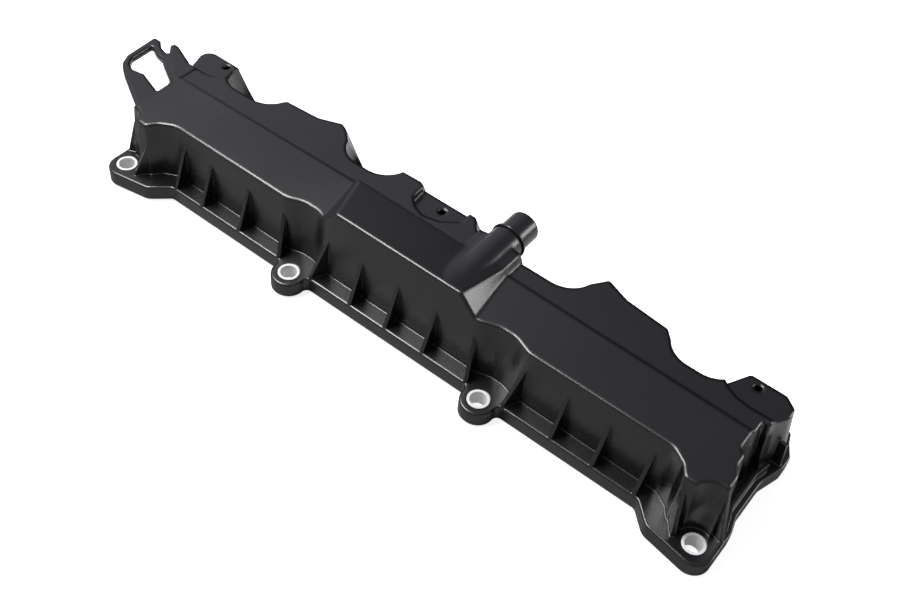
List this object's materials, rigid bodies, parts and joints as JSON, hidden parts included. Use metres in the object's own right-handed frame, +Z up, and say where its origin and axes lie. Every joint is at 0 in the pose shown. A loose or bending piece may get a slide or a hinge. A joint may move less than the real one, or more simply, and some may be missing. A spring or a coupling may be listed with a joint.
{
  "type": "engine valve cover",
  "caption": "Long moulded engine valve cover with finned walls, bolt ears with steel sleeves, a raised separator chamber, a breather spout and a perimeter gasket.",
  "frame": {"origin": "centre of the first front bolt hole, at the underside of the flange", "axes": "+X along the front row of bolts, +Y across the cover towards the spout, +Z up out of the engine"},
  "size_m": [0.367, 0.0851, 0.0486],
  "materials": {
    "shell": "satin black with a fine grain",
    "gasket": "smooth moulded rubber",
    "spout": "smooth satin, slightly shinier than the shell",
    "ring": "smooth rubber",
    "baffle": "plain moulded",
    "sleeve": "bright zinc plated",
    "screw": "zinc plated"
  },
  "bodies": {
    "root": {"cover_shell": "shell", "perimeter_gasket": "gasket", "breather_spout": "spout", "spout_ring": "ring", "baffle_plate": "baffle", "limiter_sleeve_front_1": "sleeve", "limiter_sleeve_front_2": "sleeve", "limiter_sleeve_front_3": "sleeve", "limiter_sleeve_front_4": "sleeve", "limiter_sleeve_rear_1": "sleeve", "limiter_sleeve_rear_2": "sleeve", "limiter_sleeve_rear_3": "sleeve", "limiter_sleeve_rear_4": "sleeve", "baffle_screw_1": "screw", "baffle_screw_2": "screw", "baffle_screw_3": "screw", "baffle_screw_4": "screw", "baffle_screw_5": "screw", "baffle_screw_6": "screw"}
  },
  "joints": []
}
